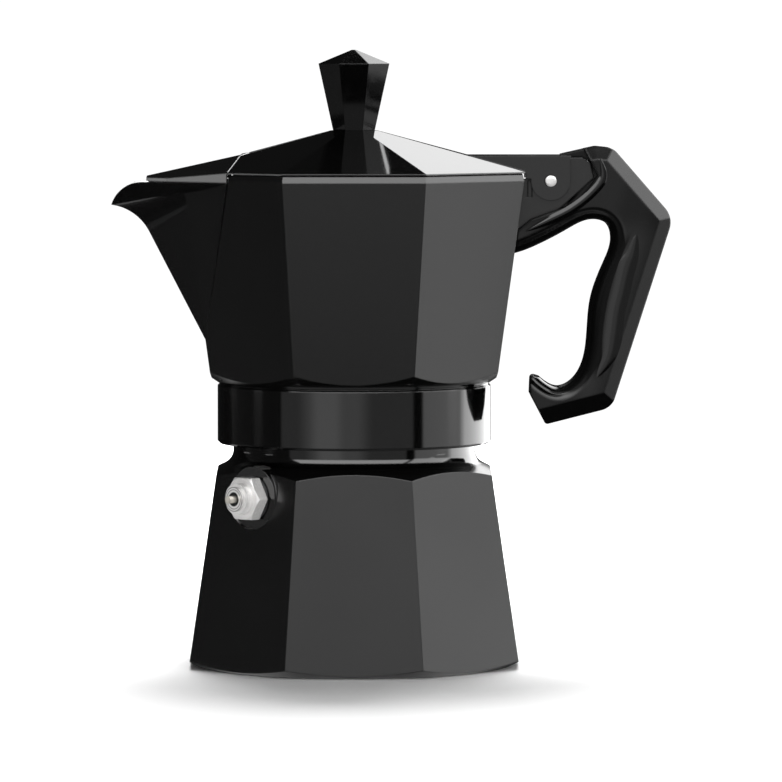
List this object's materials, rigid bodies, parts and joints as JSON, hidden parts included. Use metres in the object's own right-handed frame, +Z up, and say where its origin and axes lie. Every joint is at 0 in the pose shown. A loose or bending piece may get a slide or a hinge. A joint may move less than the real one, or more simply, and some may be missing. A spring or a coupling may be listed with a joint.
{
  "type": "stovetop coffee maker",
  "caption": "Octagonal cast stovetop coffee maker with a screw-on collector, spout, hinged faceted lid, angular moulded handle, funnel, filter plate and safety valve.",
  "frame": {"origin": "on the pot's axis, on the flat base that stands on the hob", "axes": "+Z up along the pot's axis, the spout points along -X and the handle along +X, the safety valve sits on the facet that faces -X -Y"},
  "size_m": [0.15, 0.091, 0.165],
  "materials": {
    "black_paint": "black stoving paint on cast aluminium, satin on the flats and glossy on the lid and the collar",
    "cast_metal": "bare casting",
    "turned_metal": "satin, turned",
    "nickel": "bright nickel plate",
    "brass": "plain",
    "steel": "bright wire and screws",
    "moulding": "glossy black thermoset",
    "gasket_rubber": "matt white silicone",
    "seal_rubber": "matt black"
  },
  "bodies": {
    "boiler": {"boiler": "black_paint", "valve_body": "nickel", "valve_washer": "seal_rubber", "valve_cap": "nickel", "valve_spring": "steel"},
    "valve_stem": {"valve_stem": "brass", "valve_seal": "seal_rubber"},
    "funnel": {"funnel_basket": "turned_metal", "funnel_tube": "turned_metal", "funnel_sieve": "turned_metal"},
    "filter_plate": {"filter_plate": "turned_metal"},
    "gasket": {"gasket": "gasket_rubber"},
    "collector": {"collector": "black_paint", "column": "cast_metal", "handle": "moulding", "handle_screw": "steel", "hinge_pin": "steel"},
    "lid": {"lid": "black_paint", "knob": "moulding", "knob_washer": "steel", "knob_screw": "steel"}
  },
  "joints": [
    {"name": "valve_relief", "type": "slide", "parent": "boiler", "child": "valve_stem", "axis": [-0.7071, -0.7071, 0], "range_m": [0, 0.0015], "stiffness_N_per_m": 800, "springref_m": -0.002, "deforming": ["valve_spring"]},
    {"name": "funnel_lift", "type": "slide", "parent": "boiler", "child": "funnel", "axis": [0, 0, 1], "range_m": [0, 0.085]},
    {"name": "plate_lift", "type": "slide", "parent": "funnel", "child": "filter_plate", "axis": [0, 0, 1], "range_m": [0, 0.09]},
    {"name": "thread_rise", "type": "slide", "parent": "filter_plate", "child": "gasket", "axis": [0, 0, 1], "range_m": [0, 0.00376]},
    {"name": "collector_unscrew", "type": "hinge", "parent": "gasket", "child": "collector", "pos_m": [0, 0, 0], "axis": [0, 0, 1], "range_deg": [0, 450]},
    {"name": "lid_hinge", "type": "hinge", "parent": "collector", "child": "lid", "pos_m": [0.0526, 0, 0.13], "axis": [0, 1, 0], "range_deg": [0, 95]}
  ],
  "couplings": [
    {"joint": "thread_rise", "follows": "collector_unscrew", "m_per_rad": 0.00047746}
  ]
}
